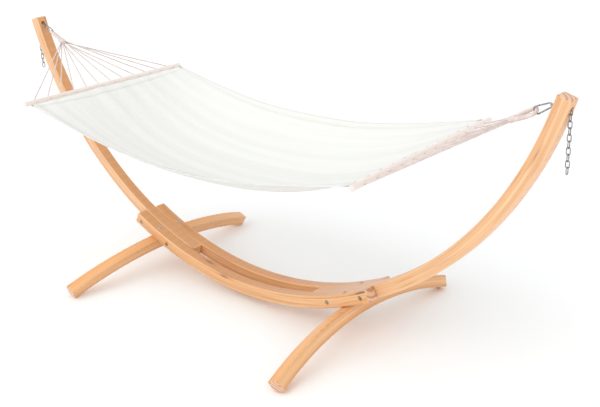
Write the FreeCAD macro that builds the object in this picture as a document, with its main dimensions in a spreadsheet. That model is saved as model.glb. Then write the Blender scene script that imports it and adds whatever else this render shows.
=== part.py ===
"""Hammock on a bent-wood stand.

Frame: millimetres, X along the hammock, Y across it, +Z up.  The origin is on the floor under the
middle of the stand.  Two centre beams hold the lower ends of two arms between them, and two arched
feet are bolted underneath.  A chain through each arm top carries the hammock.
"""
import FreeCAD, Part
import os
from math import acos, asin, atan2, cos, degrees, pi, radians, sin, sqrt, tan
import Sketcher

V = FreeCAD.Vector
X_AXIS, Y_AXIS, Z_AXIS = V(1, 0, 0), V(0, 1, 0), V(0, 0, 1)
LEAST_CUT = 1e-3  # cubic millimetres that a cut has to take away
SAME_POINT = 1e-6  # millimetres within which two points are one

SIZES = {
    # bent timber
    "arc_radius": 1648, "timber_size": 60, "edge_round": 7,
    "arm_top_angle": 72.7, "arm_low_angle": 14.5, "beam_end_angle": 27.8,
    "inner_bolt_angle": 19.2, "outer_bolt_angle": 26.3, "foot_angle": 22.5,
    "foot_half_width": 597, "foot_size": 58, "seat_cut": 2.6, "pad_cut": 6,
    # fasteners
    "cross_bolt_dia": 10, "cross_head_dia": 17, "recess_dia": 22, "recess_depth": 12,
    "head_below_face": 3, "head_round": 1.2, "socket_flats": 8, "socket_depth": 5,
    "cross_washer_dia": 20, "washer_thickness": 2, "cross_nut_flats": 16, "cross_nut_height": 7,
    "foot_bolt_dia": 8, "dome_dia": 21, "dome_height": 5, "foot_washer_dia": 20,
    "foot_nut_flats": 13, "foot_nut_height": 6.5, "bolt_hole_gap": 0.5,
    # chain
    "chain_hole_angle": 71.4, "chain_hole_dia": 22, "keyslot_width": 6.4, "keyslot_length": 32,
    "keyslot_depth": 25, "link_wire": 4, "link_bow": 7, "link_straight": 14, "link_gap": 0.3,
    "mouth_link_depth": 4, "slot_link_angle": 53, "tail_links": 9,
    # snap hook
    "hook_wire": 6, "hook_length": 80, "hook_small_bow": 8, "hook_large_bow": 14,
    "gate_dia": 6.4, "gate_start": 7, "gate_length": 38, "tongue_thickness": 2.6, "gate_gap": 0.4,
    "gate_pin_dia": 2, "pin_clearance": 0.05, "tongue_neck": 5, "wire_end": 4, "gate_tail": 3,
    "tongue_clearance": 0.5, "gate_clearance": 0.6, "gate_slot_length": 10,
    # rope harness and bed
    "eye_dia": 15, "eye_bow": 17, "eye_length": 84, "eye_leg_gap": 0.4, "eye_tilt": 25,
    "whip_wide": 39, "whip_tall": 25, "whip_length": 30,
    "rope_dia": 5.5, "rope_count": 12, "rope_pitch": 80, "rope_bend": 14, "bundle_step": 2.9,
    "bundle_row": 5.7, "bundle_rows": 3,
    "bar_dia": 24, "bar_length": 1004, "bar_round": 5, "bar_offset": 1008, "bar_height": 921,
    "bar_skew": 2.5, "rope_hole_dia": 6.1, "rope_reach": 17,
    "bed_half_width": 488, "bed_pull": 16, "bed_thickness": 6, "bed_hem_sag": 100,
    "bed_belly": 180, "bed_end_belly": 0.5, "bed_inset": 20, "bed_half_sections": 4,
}

doc = FreeCAD.newDocument("hammock_on_stand")
sheet = doc.addObject("Spreadsheet::Sheet", "Sizes")
for row, (alias, value) in enumerate(SIZES.items(), start=1):
    sheet.set(f"A{row}", alias)
    sheet.set(f"B{row}", str(value))
    sheet.setAlias(f"B{row}", alias)
doc.recompute()


def size(alias):
    """A driving dimension, read back from the sheet."""
    return float(sheet.get(alias))


def polar(radius, angle):
    """A point of the stand's arc: angle in degrees from straight down, towards +X."""
    return V(radius * sin(radians(angle)), 0, ARC_CENTRE_HEIGHT - radius * cos(radians(angle)))


# ---------------------------------------------------------------- sketches and bodies
def new_body(label):
    body = doc.addObject("PartDesign::Body", label)
    body.Label = label
    return body


def new_sketch(body, name, plane, offset=None):
    sketch = body.newObject("Sketcher::SketchObject", name)
    origin_plane = next(f for f in body.Origin.OriginFeatures if f.Role == plane)
    sketch.AttachmentSupport = [(origin_plane, "")]
    sketch.MapMode = "FlatFace"
    if offset:
        sketch.AttachmentOffset = offset
    return sketch


def constrain(sketch, name, kind, *where, bind):
    """Add a named constraint whose value is an expression of the sheet."""
    index = sketch.addConstraint(Sketcher.Constraint(kind, *where))
    sketch.renameConstraint(index, name)
    sketch.setExpression(f"Constraints.{name}", bind)


def draw_rectangle(sketch, left, width, height, start):
    """A rectangle whose left side is at `left`, centred on the sketch's horizontal axis.

    `start` is where the left and right sides are drawn, and half the height.
    """
    x0, x1, y1 = start
    corners = [V(x0, -y1), V(x1, -y1), V(x1, y1), V(x0, y1)]
    for first, second in zip(corners, corners[1:] + corners[:1]):
        sketch.addGeometry(Part.LineSegment(first, second))
    for side in range(4):
        sketch.addConstraint(Sketcher.Constraint("Coincident", side, 2, (side + 1) % 4, 1))
    sketch.addConstraint(Sketcher.Constraint("Horizontal", 0))
    sketch.addConstraint(Sketcher.Constraint("Vertical", 1))
    sketch.addConstraint(Sketcher.Constraint("Horizontal", 2))
    sketch.addConstraint(Sketcher.Constraint("Symmetric", 3, 1, 3, 2, -1))
    constrain(sketch, "left_side", "DistanceX", -1, 1, 3, 1, x0, bind=left)
    constrain(sketch, "wide", "DistanceX", 0, 1, 0, 2, x1 - x0, bind=width)
    constrain(sketch, "tall", "DistanceY", 1, 1, 1, 2, 2 * y1, bind=height)


def draw_circle(sketch, name, place, bind_place, diameter, bind_diameter):
    """A circle held by its centre and diameter; `place` and `diameter` are where it is drawn."""
    index = sketch.addGeometry(Part.Circle(V(*place), Z_AXIS, diameter / 2))
    constrain(sketch, f"{name}_across", "DistanceX", -1, 1, index, 3, place[0], bind=bind_place[0])
    constrain(sketch, f"{name}_up", "DistanceY", -1, 1, index, 3, place[1], bind=bind_place[1])
    constrain(sketch, f"{name}_size", "Diameter", index, diameter, bind=bind_diameter)


def cut(body, name, sketch, length, flip=False):
    """Pocket a sketch to a length, and make sure that it took something away."""
    doc.recompute()
    before = body.Shape.Volume
    pocket = body.newObject("PartDesign::Pocket", name)
    pocket.Profile = sketch
    pocket.Type = "Length"
    pocket.setExpression("Length", length)
    pocket.Reversed = flip
    sketch.Visibility = False
    doc.recompute()
    if body.Shape.Volume >= before - LEAST_CUT:
        raise RuntimeError(f"{name} cuts nothing")


def bent_timber(body, sweep, section, symmetric=False):
    """A square section swept round the body's Y axis, with all its edges rounded."""
    radius, thick = size("arc_radius"), size(section)
    profile = new_sketch(body, f"{body.Label}_section", "XY_Plane")
    draw_rectangle(profile, f"Sizes.arc_radius - Sizes.{section} / 2", f"Sizes.{section}",
                   f"Sizes.{section}", (radius - thick / 2, radius + thick / 2, thick / 2))
    bend = body.newObject("PartDesign::Revolution", f"{body.Label}_bend")
    bend.Profile = profile
    bend.ReferenceAxis = (profile, ["V_Axis"])
    bend.Midplane = symmetric
    bend.setExpression("Angle", sweep)
    profile.Visibility = False
    doc.recompute()
    rounding = body.newObject("PartDesign::Fillet", f"{body.Label}_rounding")
    rounding.Base = (bend, [f"Edge{i + 1}" for i in range(len(bend.Shape.Edges))])
    rounding.setExpression("Radius", "Sizes.edge_round")
    doc.recompute()


def radial_sketch(body, name, angle, radius):
    """A sketch across the bend's radius, `angle` degrees round from where the bend starts."""
    turn = FreeCAD.Rotation(X_AXIS, angle)
    lift = turn.multVec(V(0, 0, radius))
    return new_sketch(body, name, "YZ_Plane", FreeCAD.Placement(lift, turn))


def side_sketch(body, name, distance):
    """A sketch facing the body's -Y side, `distance` in front of its middle plane."""
    place = FreeCAD.Placement(V(0, 0, distance), FreeCAD.Rotation())
    return new_sketch(body, name, "XZ_Plane", place)


def bolt_row(body, name, start_angle, angles, diameter, distance, length):
    """Round holes along Y on the bend's centre line; `angles` are sheet aliases with a sign."""
    sketch = side_sketch(body, name, distance)
    for sign, alias in angles:
        turned = f"(Sizes.{start_angle} - ({sign}) * Sizes.{alias}) * 1 deg"
        angle = radians(size(start_angle) - sign * size(alias))
        place = (size("arc_radius") * cos(angle), -size("arc_radius") * sin(angle))
        bind = (f"Sizes.arc_radius * cos({turned})", f"-Sizes.arc_radius * sin({turned})")
        label = f"{alias}_{'right' if sign > 0 else 'left'}"
        draw_circle(sketch, label, place, bind, diameter[0], diameter[1])
    cut(body, f"{name}_cut", sketch, length)


# ---------------------------------------------------------------- overall geometry
TIMBER = size("timber_size")
OUTER_RADIUS = size("arc_radius") + TIMBER / 2
INNER_RADIUS = size("arc_radius") - TIMBER / 2
FOOT_TILT = size("foot_angle")
FOOT_HALF_ANGLE = degrees(asin(size("foot_half_width") / size("arc_radius")))
SEAT_RADIUS = size("arc_radius") + size("foot_size") / 2 - size("seat_cut")


def foot_arc_height():
    """Height of the centre of the foot's arc, which puts the cut pads of its tips on the floor."""
    half = size("foot_size") / 2
    tip_drop = (size("arc_radius") - half) * cos(radians(FOOT_HALF_ANGLE)) * cos(radians(FOOT_TILT))
    return half * sin(radians(FOOT_TILT)) - tip_drop - size("pad_cut")


FOOT_ARC_HEIGHT = foot_arc_height()
SEAT_HEIGHT = FOOT_ARC_HEIGHT + SEAT_RADIUS * cos(radians(FOOT_TILT))
ARC_CENTRE_HEIGHT = SEAT_HEIGHT + OUTER_RADIUS * cos(radians(FOOT_TILT))
BEAM_OFFSET = TIMBER
BOLT_HOLE = "Sizes.{0} + Sizes.bolt_hole_gap"
RIGHT_THROUGH = "3 * Sizes.timber_size"
PAST_THE_BEND = "Sizes.arc_radius + Sizes.timber_size"
UNDER_EACH_BEAM = (
    ("front", -BEAM_OFFSET, "-Sizes.timber_size"),
    ("back", BEAM_OFFSET, "Sizes.timber_size"),
)


def set_arc_placement(body, top_angle, offset, half_turn=False):
    """Stand a bend on its arc, starting `top_angle` degrees from straight down."""
    start = FreeCAD.Rotation(Y_AXIS, 90 - top_angle)
    turn = FreeCAD.Rotation(Z_AXIS, 180 if half_turn else 0)
    body.Placement = FreeCAD.Placement(V(0, offset, ARC_CENTRE_HEIGHT), turn * start)


def make_beam(label, offset, half_turn):
    """A centre beam: counterbored cross holes on its outer face, two upright holes for the feet."""
    body = new_body(label)
    bent_timber(body, "2 * Sizes.beam_end_angle", "timber_size")
    bolts = [(1, "inner_bolt_angle"), (1, "outer_bolt_angle"),
             (-1, "inner_bolt_angle"), (-1, "outer_bolt_angle")]
    through = (size("cross_bolt_dia") + size("bolt_hole_gap"), BOLT_HOLE.format("cross_bolt_dia"))
    recess = (size("recess_dia"), "Sizes.recess_dia")
    bolt_row(body, f"{label}_cross_holes", "beam_end_angle", bolts, through, TIMBER, RIGHT_THROUGH)
    bolt_row(body, f"{label}_recesses", "beam_end_angle", bolts, recess, TIMBER / 2,
             "Sizes.recess_depth")
    for side in (1, -1):
        angle = size("beam_end_angle") - side * size("foot_angle")
        sketch = radial_sketch(body, f"{label}_foot_hole_{'right' if side > 0 else 'left'}", angle, 0)
        draw_circle(sketch, "foot_bolt", (0, 0), ("0 mm", "0 mm"), size("foot_bolt_dia"),
                    BOLT_HOLE.format("foot_bolt_dia"))
        cut(body, f"{sketch.Name}_cut", sketch, PAST_THE_BEND, flip=True)
    set_arc_placement(body, size("beam_end_angle"), offset, half_turn)
    return body


def make_arm(label, half_turn):
    """An arm: cross holes at its lower end, and the chain hole with its key slot near the top."""
    body = new_body(label)
    bent_timber(body, "Sizes.arm_top_angle - Sizes.arm_low_angle", "timber_size")
    bolts = [(1, "inner_bolt_angle"), (1, "outer_bolt_angle")]
    through = (size("cross_bolt_dia") + size("bolt_hole_gap"), BOLT_HOLE.format("cross_bolt_dia"))
    bolt_row(body, f"{label}_cross_holes", "arm_top_angle", bolts, through, TIMBER, RIGHT_THROUGH)
    down = size("arm_top_angle") - size("chain_hole_angle")
    hole = radial_sketch(body, f"{label}_chain_hole", down, 0)
    draw_circle(hole, "chain_hole", (0, 0), ("0 mm", "0 mm"), size("chain_hole_dia"),
                "Sizes.chain_hole_dia")
    cut(body, f"{hole.Name}_cut", hole, PAST_THE_BEND, flip=True)
    slot = radial_sketch(body, f"{label}_key_slot", down, OUTER_RADIUS)
    draw_slot(slot)
    cut(body, f"{slot.Name}_cut", slot, "Sizes.keyslot_depth")
    set_arc_placement(body, size("arm_top_angle"), 0, half_turn)
    return body


def draw_slot(sketch):
    """The key slot: two straight sides down from the chain hole to a half-round end."""
    half, reach = size("keyslot_width") / 2, size("keyslot_length") - size("keyslot_width") / 2
    sketch.addGeometry(Part.LineSegment(V(-half, -reach), V(-half, 0)))
    sketch.addGeometry(Part.LineSegment(V(-half, 0), V(half, 0)))
    sketch.addGeometry(Part.LineSegment(V(half, 0), V(half, -reach)))
    sketch.addGeometry(Part.ArcOfCircle(Part.Circle(V(0, -reach), Z_AXIS, half), pi, 2 * pi))
    for first, second in ((0, 1), (1, 2)):
        sketch.addConstraint(Sketcher.Constraint("Coincident", first, 2, second, 1))
    sketch.addConstraint(Sketcher.Constraint("Tangent", 0, 1, 3, 1))
    sketch.addConstraint(Sketcher.Constraint("Tangent", 2, 2, 3, 2))
    sketch.addConstraint(Sketcher.Constraint("Vertical", 0))
    sketch.addConstraint(Sketcher.Constraint("Symmetric", 0, 2, 1, 2, -1, 1))
    constrain(sketch, "slot_width", "Distance", 1, 2 * half, bind="Sizes.keyslot_width")
    constrain(sketch, "slot_side", "Distance", 0, reach,
              bind="Sizes.keyslot_length - Sizes.keyslot_width / 2")


def make_foot(label, half_turn):
    """An arched foot: a flat seat under the beams, two bolt holes, and tips cut flat on the floor."""
    body = new_body(label)
    sweep = "2 * asin(Sizes.foot_half_width / Sizes.arc_radius)"
    bent_timber(body, sweep, "foot_size", symmetric=True)
    seat = new_sketch(body, f"{label}_seat", "XY_Plane",
                      FreeCAD.Placement(V(0, 0, -2 * TIMBER), FreeCAD.Rotation()))
    draw_rectangle(seat, "Sizes.arc_radius + Sizes.foot_size / 2 - Sizes.seat_cut", "Sizes.foot_size",
                   "2 * Sizes.foot_size",
                   (SEAT_RADIUS, SEAT_RADIUS + size("foot_size"), size("foot_size")))
    cut(body, f"{label}_seat_cut", seat, "4 * Sizes.timber_size", flip=True)
    holes = new_sketch(body, f"{label}_bolt_holes", "YZ_Plane")
    for name, place, bind in UNDER_EACH_BEAM:
        draw_circle(holes, name, (0, place), ("0 mm", bind), size("foot_bolt_dia"),
                    BOLT_HOLE.format("foot_bolt_dia"))
    cut(body, f"{label}_bolt_hole_cut", holes, PAST_THE_BEND, flip=True)
    recess_level = SEAT_RADIUS - size("foot_size") + size("recess_depth")
    recesses = new_sketch(body, f"{label}_nut_recesses", "YZ_Plane",
                          FreeCAD.Placement(V(0, 0, recess_level), FreeCAD.Rotation()))
    for name, place, bind in UNDER_EACH_BEAM:
        draw_circle(recesses, name, (0, place), ("0 mm", bind), size("recess_dia"),
                    "Sizes.recess_dia")
    cut(body, f"{label}_nut_recess_cut", recesses, "2 * Sizes.recess_depth")
    floor_gap = -FOOT_ARC_HEIGHT
    tilt = FreeCAD.Rotation(Z_AXIS, FOOT_TILT)
    pads = new_sketch(body, f"{label}_floor_pads", "XY_Plane",
                      FreeCAD.Placement(V(0, 0, -size("foot_half_width") - TIMBER), tilt))
    draw_rectangle(pads, f"{floor_gap - size('foot_size')}", "Sizes.foot_size", "2 * Sizes.arc_radius",
                   (floor_gap - size("foot_size"), floor_gap, size("arc_radius")))
    whole_foot = "2 * Sizes.foot_half_width + 2 * Sizes.timber_size"
    cut(body, f"{label}_floor_pad_cut", pads, whole_foot, flip=True)
    up = V(-sin(radians(FOOT_TILT)), 0, cos(radians(FOOT_TILT)))
    seat_point = polar(OUTER_RADIUS, FOOT_TILT)
    across = V(cos(radians(FOOT_TILT)), 0, sin(radians(FOOT_TILT)))
    lean = FreeCAD.Rotation(up, across, Y_AXIS, "ZXY")
    turn = FreeCAD.Rotation(Z_AXIS, 180 if half_turn else 0)
    base = turn.multVec(seat_point - up * SEAT_RADIUS)
    body.Placement = FreeCAD.Placement(base, turn * lean)
    return body


# ---------------------------------------------------------------- plain shapes
def add_feature(label, shape, half_turn=False):
    """A piece worked out from the sheet; the left end is the right end turned half round."""
    feature = doc.addObject("Part::Feature", label)
    feature.Label = label
    feature.Shape = shape
    feature.Placement = FreeCAD.Placement(V(), FreeCAD.Rotation(Z_AXIS, 180 if half_turn else 0))
    return feature


def group(solids):
    return Part.makeCompound(solids)


def hexagon(flats, height, base, axis):
    """A nut's outer prism."""
    corner = flats / 2 / cos(pi / 6)
    ring = [V(corner * cos(k * pi / 3), corner * sin(k * pi / 3), 0) for k in range(6)]
    prism = Part.Face(Part.makePolygon(ring + ring[:1])).extrude(V(0, 0, height))
    prism.Placement = FreeCAD.Placement(base, FreeCAD.Rotation(Z_AXIS, axis))
    return prism


def washer(outer, inner, thick, base, axis):
    hole = Part.makeCylinder(inner / 2, thick, base, axis)
    return Part.makeCylinder(outer / 2, thick, base, axis).cut(hole)


def tube(points, diameter, bends):
    """A round bar along straight runs joined by tangent arcs; `bends` gives the inner points' radii."""
    edges, start = [], points[0]
    for index, radius in enumerate(bends, start=1):
        corner = points[index]
        back = (points[index - 1] - corner).normalize()
        ahead = (points[index + 1] - corner).normalize()
        half_turn = (pi - back.getAngle(ahead)) / 2
        reach = radius * tan(half_turn)
        inward = (back + ahead).normalize()
        middle = corner + inward * (radius / cos(half_turn) - radius)
        first, last = corner + back * reach, corner + ahead * reach
        if start.distanceToPoint(first) > SAME_POINT:
            edges.append(Part.LineSegment(start, first).toShape())
        edges.append(Part.Arc(first, middle, last).toShape())
        start = last
    edges.append(Part.LineSegment(start, points[-1]).toShape())
    return sweep_round(edges, diameter)


def sweep_round(edges, diameter):
    path = Part.Wire(edges)
    first = edges[0]
    begin = first.valueAt(first.FirstParameter)
    heading = first.tangentAt(first.FirstParameter)
    ring = Part.Wire(Part.makeCircle(diameter / 2, begin, heading))
    return path.makePipeShell([ring], True, False)


# ---------------------------------------------------------------- fasteners
def cross_fasteners():
    """Bolts, washers and nuts through beam, arm and beam at the right end, heads to the front."""
    bolts, washers, nuts = [], [], []
    dia, thick = size("cross_bolt_dia"), size("washer_thickness")
    bore, nut_height = dia + size("bolt_hole_gap"), size("cross_nut_height")
    floor_of_recess = BEAM_OFFSET + TIMBER / 2 - size("recess_depth")
    head = size("recess_depth") - thick - size("head_below_face")
    for alias in ("inner_bolt_angle", "outer_bolt_angle"):
        centre = polar(size("arc_radius"), size(alias))
        front = centre - Y_AXIS * (floor_of_recess + thick)
        back = centre + Y_AXIS * floor_of_recess
        shank_length = 2 * (floor_of_recess + thick) + nut_height
        shank = Part.makeCylinder(dia / 2, shank_length, front, Y_AXIS)
        cap = Part.makeCylinder(size("cross_head_dia") / 2, head, front, Y_AXIS * -1)
        cap = cap.makeFillet(size("head_round"), [cap.Edges[0]])
        socket_base = front - Y_AXIS * head
        socket = hexagon(size("socket_flats"), size("socket_depth"), socket_base, Y_AXIS)
        bolts.append(cap.fuse(shank).removeSplitter().cut(socket))
        washers.append(washer(size("cross_washer_dia"), bore, thick, front, Y_AXIS))
        washers.append(washer(size("cross_washer_dia"), bore, thick, back, Y_AXIS))
        nut = hexagon(size("cross_nut_flats"), nut_height, back + Y_AXIS * thick, Y_AXIS)
        nuts.append(nut.cut(Part.makeCylinder(dia / 2, 2 * nut_height, back, Y_AXIS)))
    return group(bolts), group(washers), group(nuts)


def foot_fasteners():
    """Domed bolts down through each beam into the foot at the right end, with washers and nuts."""
    bolts, washers, nuts = [], [], []
    dia, thick = size("foot_bolt_dia"), size("washer_thickness")
    bore, nut_height = dia + size("bolt_hole_gap"), size("foot_nut_height")
    dome, rise = size("dome_dia"), size("dome_height")
    dome_radius = (dome ** 2 / 4 + rise ** 2) / (2 * rise)
    down = polar(1, FOOT_TILT) - polar(0, FOOT_TILT)
    for side in (-1, 1):
        top = polar(INNER_RADIUS, FOOT_TILT) + Y_AXIS * side * BEAM_OFFSET
        recess = top + down * (TIMBER + size("foot_size") - size("recess_depth"))
        ball = Part.makeSphere(dome_radius, top + down * (dome_radius - rise))
        seat_rise = down * -(dome ** 2 / 8 / INNER_RADIUS)
        slab = Part.makeCylinder(dome, 2 * rise, top + seat_rise, down * -1)
        shank_length = recess.distanceToPoint(top) + thick + nut_height
        shank = Part.makeCylinder(dia / 2, shank_length, top, down)
        bolts.append(ball.common(slab).fuse(shank))
        washers.append(washer(size("foot_washer_dia"), bore, thick, recess, down))
        nut = hexagon(size("foot_nut_flats"), nut_height, recess + down * thick, down)
        nuts.append(nut.cut(Part.makeCylinder(dia / 2, 2 * nut_height, recess, down)))
    return group(bolts), group(washers), group(nuts)


# ---------------------------------------------------------------- chain
OUTWARD = polar(1, size("chain_hole_angle")) - polar(0, size("chain_hole_angle"))
ALONG_ARM = V(-OUTWARD.z, 0, OUTWARD.x)
WIRE, BOW, STRAIGHT = size("link_wire"), size("link_bow"), size("link_straight")
WIRE_TO_WIRE = STRAIGHT + 2 * BOW
STEP_BACK = WIRE + size("link_gap")


def in_hole(depth, rise):
    """A point on the chain hole's middle plane, `depth` out from the arm's inner face."""
    return polar(INNER_RADIUS + depth, size("chain_hole_angle")) + ALONG_ARM * rise


def chain_link(first, direction, flat):
    """A link from the middle of its first bow's wire; `flat` is the direction it is wide in."""
    direction = V(direction).normalize()
    flat = V(flat).normalize()
    near, far = first + direction * BOW, first + direction * (BOW + STRAIGHT)
    side = flat * BOW
    edges = [
        Part.LineSegment(near + side, far + side).toShape(),
        Part.Arc(far + side, far + direction * BOW, far - side).toShape(),
        Part.LineSegment(far - side, near - side).toShape(),
        Part.Arc(near - side, first, near + side).toShape(),
    ]
    return sweep_round(edges, WIRE)


def held_chain():
    """The four links through the arm, from the snap hook's link to the one in the key slot."""
    mouth = in_hole(size("mouth_link_depth"), 0)
    hook_way = (bar_centre() - mouth).normalize()
    flat_link = chain_link(mouth, hook_way, Y_AXIS)
    upright_link = chain_link(mouth - OUTWARD * STEP_BACK, OUTWARD, ALONG_ARM)
    second_flat = mouth + OUTWARD * (WIRE_TO_WIRE - 2 * STEP_BACK)
    slot_tilt = radians(size("slot_link_angle"))
    slot_way = OUTWARD * cos(slot_tilt) - ALONG_ARM * sin(slot_tilt)
    wire = second_flat + OUTWARD * WIRE_TO_WIRE - slot_way * STEP_BACK
    links = [flat_link, upright_link, chain_link(second_flat, OUTWARD, Y_AXIS),
             chain_link(wire, slot_way, slot_way.cross(Y_AXIS))]
    bow_centre = wire + slot_way * (BOW + STRAIGHT)
    tail_top = bow_centre - Z_AXIS * (BOW - STEP_BACK)
    reach = WIRE_TO_WIRE - WIRE / 2 - size("hook_wire") / 2 - size("link_gap")
    hook_wire = mouth + hook_way * reach
    return group(links), hook_wire, hook_way, tail_top


def bar_centre():
    return V(size("bar_offset"), 0, size("bar_height"))


# ---------------------------------------------------------------- snap hook
def hook_outline(hook_wire, hook_way):
    """Centres and tangent points of the hook's two bows, in the upright plane of the hook."""
    upward = V(-hook_way.z, 0, hook_way.x)
    upward = upward if upward.z > 0 else upward * -1
    small, large = size("hook_small_bow"), size("hook_large_bow")
    spread = size("hook_length") - size("hook_wire") - small - large
    small_centre = hook_wire + hook_way * small
    large_centre = small_centre + hook_way * spread
    lean = asin((large - small) / spread)
    normals = [upward * (sign * cos(lean)) - hook_way * sin(lean) for sign in (1, -1)]
    return small_centre, large_centre, normals


def hook_gate_line(hook_wire, hook_way):
    """Start and direction of the straight side that the gate closes, on the lower side."""
    small_centre, large_centre, normals = hook_outline(hook_wire, hook_way)
    start = small_centre + normals[1] * size("hook_small_bow")
    finish = large_centre + normals[1] * size("hook_large_bow")
    return start, (finish - start).normalize(), finish


def slab_behind(hinge, along, inward, length, thick, tall):
    """A flat block that ends at the gate's hinge, centred on the hook's middle plane."""
    block = Part.makeBox(length, thick, tall)
    corner = hinge - along * length + Y_AXIS * (thick / 2) - inward * (tall / 2)
    block.Placement = FreeCAD.Placement(corner, FreeCAD.Rotation(along, Y_AXIS * -1, inward, "XZY"))
    return block


def snap_hook_parts(hook_wire, hook_way):
    """The bent wire with its gate tongue, the slotted gate, and the pin between them."""
    small_centre, large_centre, normals = hook_outline(hook_wire, hook_way)
    start, along, finish = hook_gate_line(hook_wire, hook_way)
    small, large = size("hook_small_bow"), size("hook_large_bow")
    wire_dia, rod_dia, pin_dia = size("hook_wire"), size("gate_dia"), size("gate_pin_dia")
    hinge = start + along * size("gate_start")
    nose = hinge + along * size("gate_length")
    upper_small, upper_large = small_centre + normals[0] * small, large_centre + normals[0] * large
    edges = [
        Part.LineSegment(hinge - along * size("wire_end"), start).toShape(),
        Part.Arc(start, small_centre - hook_way * small, upper_small).toShape(),
        Part.LineSegment(upper_small, upper_large).toShape(),
        Part.Arc(upper_large, large_centre + hook_way * large, finish).toShape(),
        Part.LineSegment(finish, nose + along * size("gate_gap")).toShape(),
    ]
    wire = sweep_round(edges, wire_dia)
    inward = normals[1] * -1
    thick = size("tongue_thickness")
    tongue = Part.makeCylinder(wire_dia / 2, thick, hinge - Y_AXIS * (thick / 2), Y_AXIS)
    neck = slab_behind(hinge, along, inward, size("tongue_neck"), thick, wire_dia)
    bore = Part.makeCylinder(pin_dia / 2 + size("pin_clearance"), 2 * rod_dia,
                             hinge - Y_AXIS * rod_dia, Y_AXIS)
    hook = wire.fuse([tongue, neck]).cut(bore)
    tail = size("gate_tail")
    rod = Part.makeCylinder(rod_dia / 2, size("gate_length") + tail, hinge - along * tail, along)
    slot_wide = thick + size("tongue_clearance")
    clear = Part.makeCylinder(wire_dia / 2 + size("gate_clearance"), slot_wide,
                              hinge - Y_AXIS * (slot_wide / 2), Y_AXIS)
    back = slab_behind(hinge, along, inward, size("gate_slot_length"), slot_wide, 2 * wire_dia)
    gate = rod.cut([clear, back, bore])
    pin = Part.makeCylinder(pin_dia / 2, rod_dia, hinge - Y_AXIS * (rod_dia / 2), Y_AXIS)
    return hook, gate, pin, hinge, inward


# ---------------------------------------------------------------- rope harness, bars and bed
def eye_start(hook_wire, hook_way):
    """Where the middle of the eye's rope lies inside the large end of the hook."""
    inside = size("hook_length") - 1.5 * size("hook_wire") - size("eye_dia") / 2 - size("link_gap")
    return hook_wire + hook_way * inside


def above_way(way):
    """The direction square to `way` in the upright plane, pointing up."""
    return V(-way.z, 0, way.x) * (1 if way.x > 0 else -1)


def rope_eye(apex, hook_way):
    """A hairpin of bound rope round the hook, its legs drawn together at the binding."""
    bow, legs = size("eye_bow"), (size("eye_dia") + size("eye_leg_gap")) / 2
    tilt = radians(size("eye_tilt"))
    across = Y_AXIS * cos(tilt) + above_way(hook_way) * sin(tilt)
    centre = apex + hook_way * bow
    end = apex + hook_way * size("eye_length")
    reach = (end - centre).Length
    swing = atan2(legs, reach) + acos(bow / sqrt(reach ** 2 + legs ** 2))
    lengthways, sideways = hook_way * (bow * cos(swing)), across * (bow * sin(swing))
    touch = [centre + lengthways + sideways, centre + lengthways - sideways]
    edges = [
        Part.LineSegment(end + across * legs, touch[0]).toShape(),
        Part.Arc(touch[0], apex, touch[1]).toShape(),
        Part.LineSegment(touch[1], end - across * legs).toShape(),
    ]
    return sweep_round(edges, size("eye_dia"))


def whipping(start, way):
    """The oval winding round the ends of the eye and the ropes, before they are cut out of it."""
    wide, tall = Y_AXIS * (size("whip_wide") / 2), above_way(way) * (size("whip_tall") / 2)
    oval = Part.Ellipse(start + wide, start + tall, start)
    return Part.Face(Part.Wire(oval.toShape())).extrude(way * size("whip_length"))


def bar_frame(skew):
    """Direction along the bar, and direction towards the middle of the hammock."""
    turn = FreeCAD.Rotation(Z_AXIS, skew)
    return turn.multVec(Y_AXIS), turn.multVec(X_AXIS * -1)


def rope_places():
    count, pitch = int(size("rope_count")), size("rope_pitch")
    return [(k - (count - 1) / 2) * pitch for k in range(count)]


def spreader_bar(skew):
    """A round bar with rounded ends, drilled for the ropes."""
    centre, (along, inward) = bar_centre(), bar_frame(skew)
    length, dia = size("bar_length"), size("bar_dia")
    bar = Part.makeCylinder(dia / 2, length, centre - along * (length / 2), along)
    ends = [e for e in bar.Edges if e.Curve.TypeId == "Part::GeomCircle"]
    bar = bar.makeFillet(size("bar_round"), ends)
    drills = []
    for place in rope_places():
        start = centre + along * place - inward * dia
        drills.append(Part.makeCylinder(size("rope_hole_dia") / 2, 2 * dia, start, inward))
    return bar.cut(drills)


def rope_fan(skew, whip_end, hook_way):
    """The ropes from the binding, each through its own hole in the bar."""
    centre, (along, inward) = bar_centre(), bar_frame(skew)
    ropes = []
    above = above_way(hook_way)
    for index, place in enumerate(rope_places()):
        row = (index % size("bundle_rows") - (size("bundle_rows") - 1) / 2) * size("bundle_row")
        packed = Y_AXIS * (place / size("rope_pitch") * size("bundle_step")) + above * row
        hole = centre + along * place
        reach = inward * size("rope_reach")
        points = [hole + reach, hole - reach, whip_end + packed]
        ropes.append(tube(points, size("rope_dia"), [size("rope_bend")]))
    return group(ropes)


def bed_section(way):
    """A closed outline across the bed, `way` being -1 at the left bar and 1 at the right one."""
    drop = 1 - way ** 2
    half, thick = size("bed_half_width") - size("bed_pull") * drop, size("bed_thickness")
    x = way * (size("bar_offset") - size("rope_reach") - size("bed_inset") / 2)
    skew = tan(radians(size("bar_skew"))) * max(way, 0) ** 3
    hem = size("bar_height") - size("bed_hem_sag") * drop
    belly = size("bed_belly") * (1 - abs(way) ** 3) + size("bed_end_belly")
    left, right = V(x + skew * half, -half, hem), V(x - skew * half, half, hem)
    low, under = V(x, 0, hem - belly), V(0, 0, -thick)
    edges = [
        Part.Arc(left, low, right).toShape(),
        Part.LineSegment(right, right + under).toShape(),
        Part.Arc(right + under, low + under, left + under).toShape(),
        Part.LineSegment(left + under, left).toShape(),
    ]
    return Part.Wire(edges)


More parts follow.
